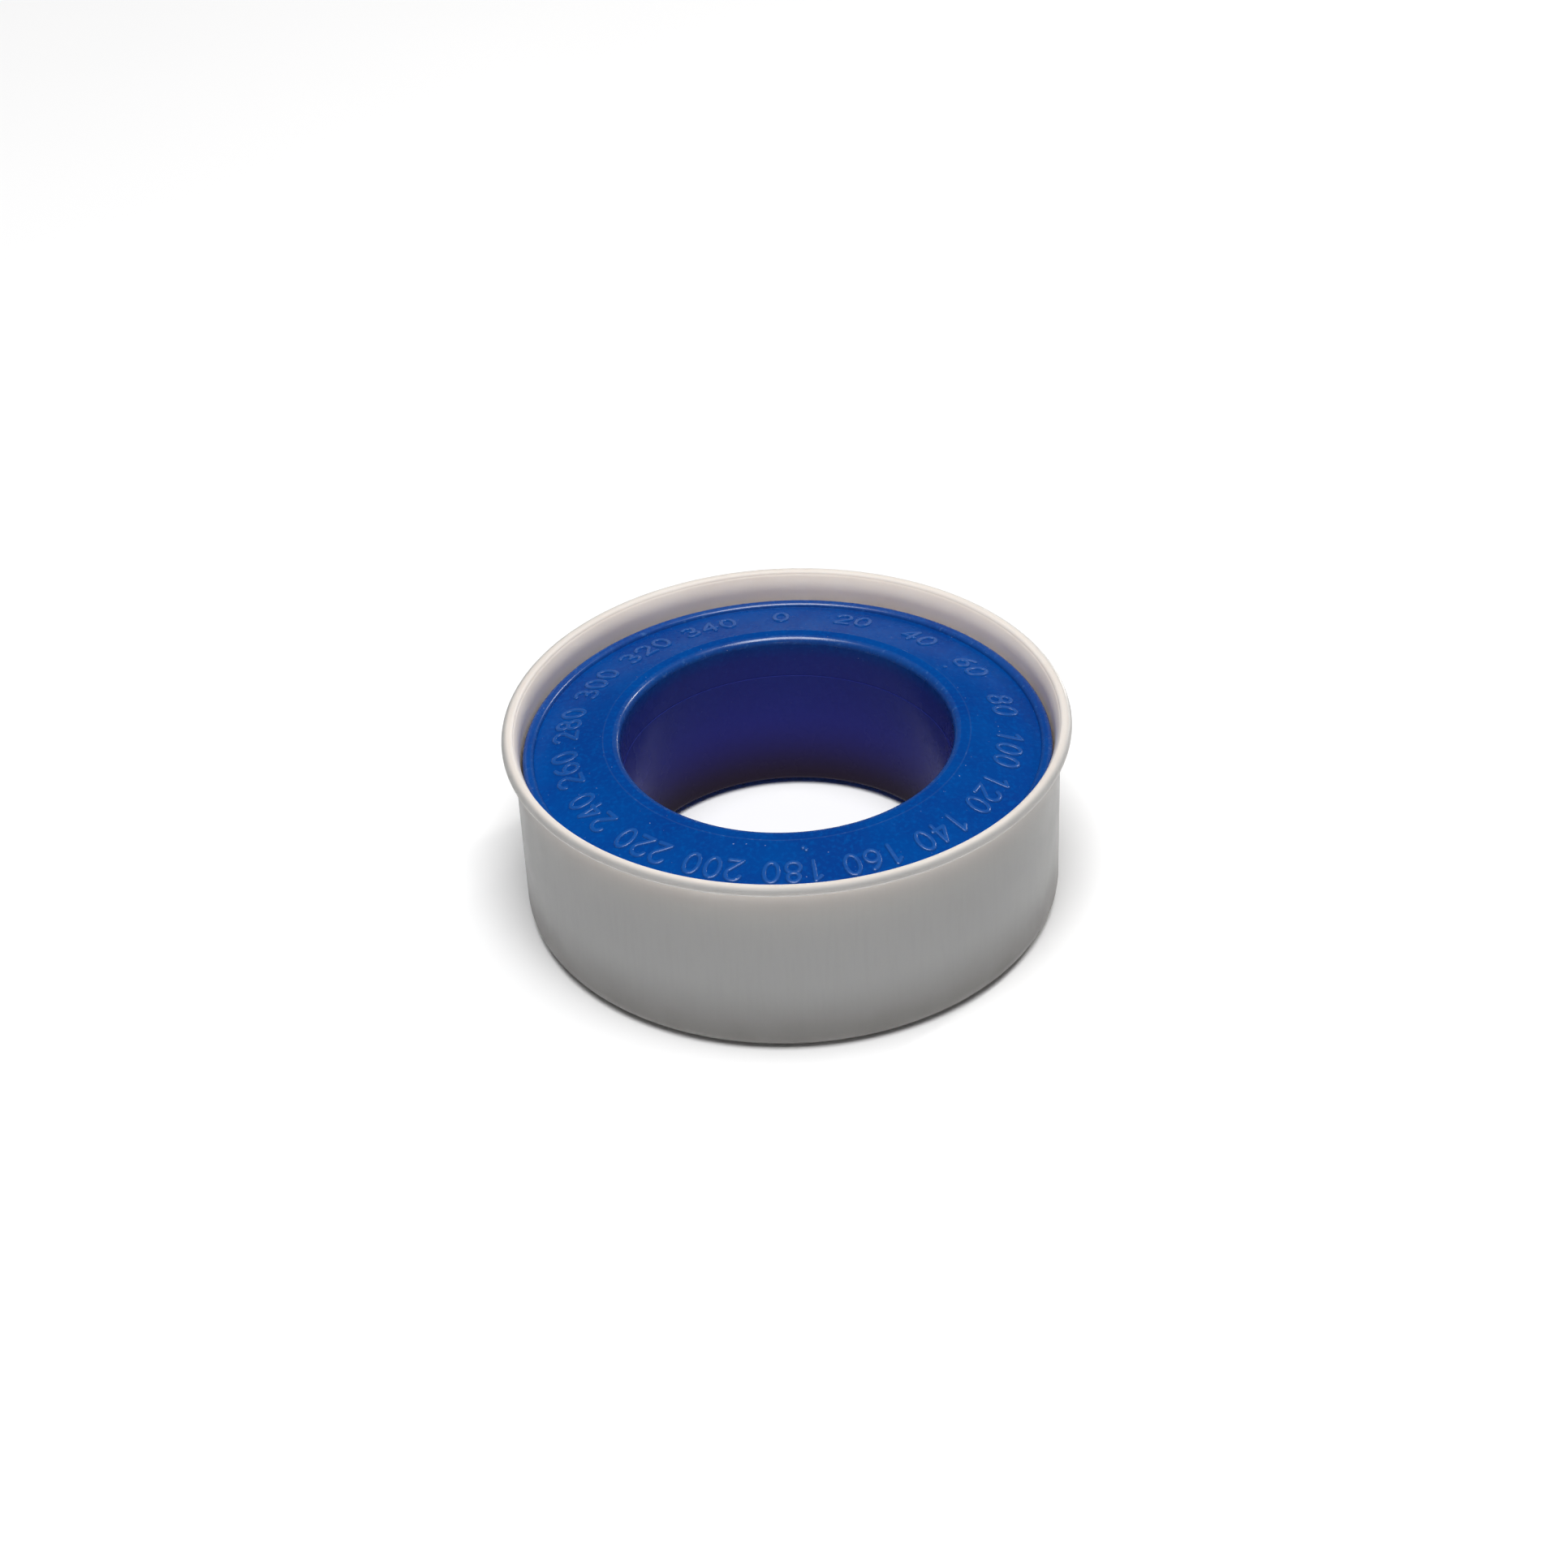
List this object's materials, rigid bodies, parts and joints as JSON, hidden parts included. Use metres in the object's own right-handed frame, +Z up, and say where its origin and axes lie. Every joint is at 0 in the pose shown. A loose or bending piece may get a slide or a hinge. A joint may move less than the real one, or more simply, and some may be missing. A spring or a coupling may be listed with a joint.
{
  "type": "thread seal tape roll",
  "caption": "White thread seal tape wound on a blue flanged spool with an open hub, in a white cover ring with a flared rim. The spool lifts out, and the tape's end goes round the winding.",
  "frame": {"origin": "centre of the cover ring's bottom face, where the roll stands on a surface", "axes": "+Z up along the roll's axis, from the cover's lip to its flared rim; +X and +Y lie in the resting plane"},
  "size_m": [0.0535, 0.0534, 0.0192],
  "materials": {
    "cover_plastic": "satin moulded white",
    "spool_plastic": "glossy moulded blue",
    "tape_white": "waxy white film"
  },
  "bodies": {
    "cover": {"cover_shell": "cover_plastic"},
    "spool": {"spool_base": "spool_plastic", "spool_cap": "spool_plastic", "tape_winding": "tape_white"},
    "tape_end": {"tape_outer_turn": "tape_white"}
  },
  "joints": [
    {"name": "spool_lift", "type": "slide", "parent": "cover", "child": "spool", "axis": [0, 0, 1], "range_m": [0, 0.03]},
    {"name": "tape_turn", "type": "hinge", "parent": "spool", "child": "tape_end", "pos_m": [0, 0, 0.009], "axis": [0, 0, 1], "continuous": true}
  ]
}
